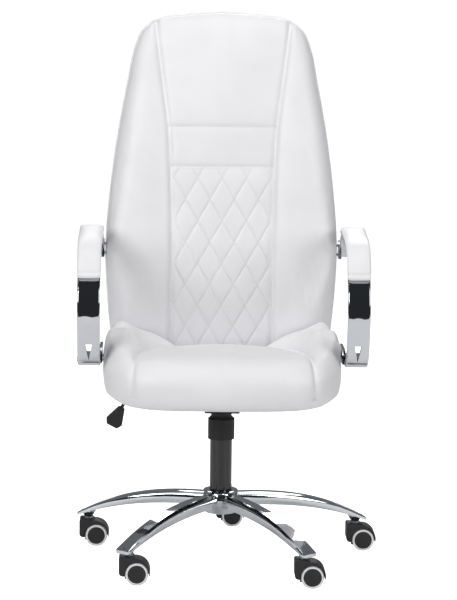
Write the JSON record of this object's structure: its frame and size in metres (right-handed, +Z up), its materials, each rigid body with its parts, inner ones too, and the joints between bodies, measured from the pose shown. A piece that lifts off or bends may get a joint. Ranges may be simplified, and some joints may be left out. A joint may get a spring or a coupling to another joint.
{
  "type": "executive swivel chair",
  "caption": "High-backed padded swivel chair with quilted panel, two loop arms, gas lift, tilt mechanism and five-star caster base",
  "frame": {"origin": "on the floor, on the axis of the column", "axes": "+Z up, +X across the chair to the sitter's left hand side as seen from the front on the right, -Y to the front"},
  "size_m": [0.6892, 0.6462, 1.228],
  "materials": {
    "polished_chrome": "bright polished chrome plate on steel",
    "zinc_steel": "zinc-plated steel",
    "black_enamel": "black powder-coated or enamelled steel",
    "black_plastic": "moulded black nylon, lightly grained",
    "inner_nylon": "natural nylon bush",
    "white_tread": "soft white polyurethane tread",
    "plywood": "bent birch plywood",
    "white_leatherette": "white leatherette over foam, fine grain, sewn seams"
  },
  "bodies": {
    "base": {"star_base": "polished_chrome", "caster_stems": "zinc_steel", "gas_outer_tube": "black_enamel", "gas_guide_bush": "inner_nylon", "gas_thrust_bearing": "zinc_steel", "cover_collar": "black_plastic"},
    "caster_1": {"caster_1_hood": "black_plastic", "caster_1_axle": "zinc_steel"},
    "caster_1_left_wheel": {"caster_1_left_core": "black_plastic", "caster_1_left_tread": "white_tread"},
    "caster_1_right_wheel": {"caster_1_right_core": "black_plastic", "caster_1_right_tread": "white_tread"},
    "caster_2": {"caster_2_hood": "black_plastic", "caster_2_axle": "zinc_steel"},
    "caster_2_left_wheel": {"caster_2_left_core": "black_plastic", "caster_2_left_tread": "white_tread"},
    "caster_2_right_wheel": {"caster_2_right_core": "black_plastic", "caster_2_right_tread": "white_tread"},
    "caster_3": {"caster_3_hood": "black_plastic", "caster_3_axle": "zinc_steel"},
    "caster_3_left_wheel": {"caster_3_left_core": "black_plastic", "caster_3_left_tread": "white_tread"},
    "caster_3_right_wheel": {"caster_3_right_core": "black_plastic", "caster_3_right_tread": "white_tread"},
    "caster_4": {"caster_4_hood": "black_plastic", "caster_4_axle": "zinc_steel"},
    "caster_4_left_wheel": {"caster_4_left_core": "black_plastic", "caster_4_left_tread": "white_tread"},
    "caster_4_right_wheel": {"caster_4_right_core": "black_plastic", "caster_4_right_tread": "white_tread"},
    "caster_5": {"caster_5_hood": "black_plastic", "caster_5_axle": "zinc_steel"},
    "caster_5_left_wheel": {"caster_5_left_core": "black_plastic", "caster_5_left_tread": "white_tread"},
    "caster_5_right_wheel": {"caster_5_right_core": "black_plastic", "caster_5_right_tread": "white_tread"},
    "column": {"gas_piston_rod": "zinc_steel"},
    "mechanism": {"gas_inner_cylinder": "zinc_steel", "cover_sleeve": "black_plastic", "tilt_housing": "black_enamel", "tilt_pivot_pin": "zinc_steel", "tilt_spring": "zinc_steel"},
    "cover_slider": {"cover_middle": "black_plastic"},
    "release": {"gas_release_pin": "zinc_steel"},
    "tilt_lock": {"lock_tongue": "zinc_steel"},
    "lever": {"lever_rod": "black_enamel", "lever_paddle": "black_plastic"},
    "tension": {"tension_screw": "zinc_steel", "tension_knob": "black_plastic"},
    "seat": {"tilt_seat_plate": "black_enamel", "seat_board": "plywood", "seat_cushion": "white_leatherette", "back_board": "plywood", "back_cushion": "white_leatherette", "back_rear_panel": "white_leatherette", "arm_frame_left": "polished_chrome", "arm_frame_right": "polished_chrome", "arm_pad_left": "white_leatherette", "arm_pad_right": "white_leatherette", "mounting_bolts": "zinc_steel"}
  },
  "joints": [
    {"name": "caster_1_swivel", "type": "hinge", "parent": "base", "child": "caster_1", "pos_m": [0.01696, 0.32356, 0.06], "axis": [0, 0, 1], "continuous": true},
    {"name": "caster_1_left_roll", "type": "hinge", "parent": "caster_1", "child": "caster_1_left_wheel", "pos_m": [0.03536, 0.32356, 0.025], "axis": [0, 1, 0], "continuous": true},
    {"name": "caster_1_right_roll", "type": "hinge", "parent": "caster_1", "child": "caster_1_right_wheel", "pos_m": [0.03536, 0.32356, 0.025], "axis": [0, 1, 0], "continuous": true},
    {"name": "caster_2_swivel", "type": "hinge", "parent": "base", "child": "caster_2", "pos_m": [-0.30248, 0.11611, 0.06], "axis": [0, 0, 1], "continuous": true},
    {"name": "caster_2_left_roll", "type": "hinge", "parent": "caster_2", "child": "caster_2_left_wheel", "pos_m": [-0.28408, 0.11611, 0.025], "axis": [0, 1, 0], "continuous": true},
    {"name": "caster_2_right_roll", "type": "hinge", "parent": "caster_2", "child": "caster_2_right_wheel", "pos_m": [-0.28408, 0.11611, 0.025], "axis": [0, 1, 0], "continuous": true},
    {"name": "caster_3_swivel", "type": "hinge", "parent": "base", "child": "caster_3", "pos_m": [-0.2039, -0.25179, 0.06], "axis": [0, 0, 1], "continuous": true},
    {"name": "caster_3_left_roll", "type": "hinge", "parent": "caster_3", "child": "caster_3_left_wheel", "pos_m": [-0.1855, -0.25179, 0.025], "axis": [0, 1, 0], "continuous": true},
    {"name": "caster_3_right_roll", "type": "hinge", "parent": "caster_3", "child": "caster_3_right_wheel", "pos_m": [-0.1855, -0.25179, 0.025], "axis": [0, 1, 0], "continuous": true},
    {"name": "caster_4_swivel", "type": "hinge", "parent": "base", "child": "caster_4", "pos_m": [0.17646, -0.27173, 0.06], "axis": [0, 0, 1], "continuous": true},
    {"name": "caster_4_left_roll", "type": "hinge", "parent": "caster_4", "child": "caster_4_left_wheel", "pos_m": [0.19486, -0.27173, 0.025], "axis": [0, 1, 0], "continuous": true},
    {"name": "caster_4_right_roll", "type": "hinge", "parent": "caster_4", "child": "caster_4_right_wheel", "pos_m": [0.19486, -0.27173, 0.025], "axis": [0, 1, 0], "continuous": true},
    {"name": "caster_5_swivel", "type": "hinge", "parent": "base", "child": "caster_5", "pos_m": [0.31296, 0.08386, 0.06], "axis": [0, 0, 1], "continuous": true},
    {"name": "caster_5_left_roll", "type": "hinge", "parent": "caster_5", "child": "caster_5_left_wheel", "pos_m": [0.33136, 0.08386, 0.025], "axis": [0, 1, 0], "continuous": true},
    {"name": "caster_5_right_roll", "type": "hinge", "parent": "caster_5", "child": "caster_5_right_wheel", "pos_m": [0.33136, 0.08386, 0.025], "axis": [0, 1, 0], "continuous": true},
    {"name": "column_swivel", "type": "hinge", "parent": "base", "child": "column", "pos_m": [0, 0, 0.12], "axis": [0, 0, 1], "continuous": true},
    {"name": "seat_lift", "type": "slide", "parent": "column", "child": "mechanism", "axis": [0, 0, 1], "range_m": [0, 0.075]},
    {"name": "cover_slide", "type": "slide", "parent": "column", "child": "cover_slider", "axis": [0, 0, 1], "range_m": [0, 0.0375]},
    {"name": "release_press", "type": "slide", "parent": "mechanism", "child": "release", "axis": [0, 0, -1], "range_m": [0, 0.0039]},
    {"name": "lock_pull", "type": "slide", "parent": "mechanism", "child": "tilt_lock", "axis": [-1, 0, 0], "range_m": [0, 0.008]},
    {"name": "lever_lift", "type": "hinge", "parent": "tilt_lock", "child": "lever", "pos_m": [-0.0375, 0, 0.37], "axis": [0, 1, 0], "range_deg": [0, 5], "stiffness_Nm_per_rad": 2, "springref_deg": -17.19},
    {"name": "tension_turn", "type": "hinge", "parent": "mechanism", "child": "tension", "pos_m": [0, 0.052, 0.337], "axis": [0, 0, 1], "range_deg": [-360, 360]},
    {"name": "seat_tilt", "type": "hinge", "parent": "mechanism", "child": "seat", "pos_m": [0, -0.05, 0.376], "axis": [-1, 0, 0], "range_deg": [0, 12], "stiffness_Nm_per_rad": 90, "springref_deg": -34.38, "deforming": ["tilt_spring"]}
  ],
  "couplings": [
    {"joint": "cover_slide", "follows": "seat_lift", "ratio": 0.5},
    {"joint": "release_press", "follows": "lever_lift", "m_per_rad": 0.044}
  ]
}
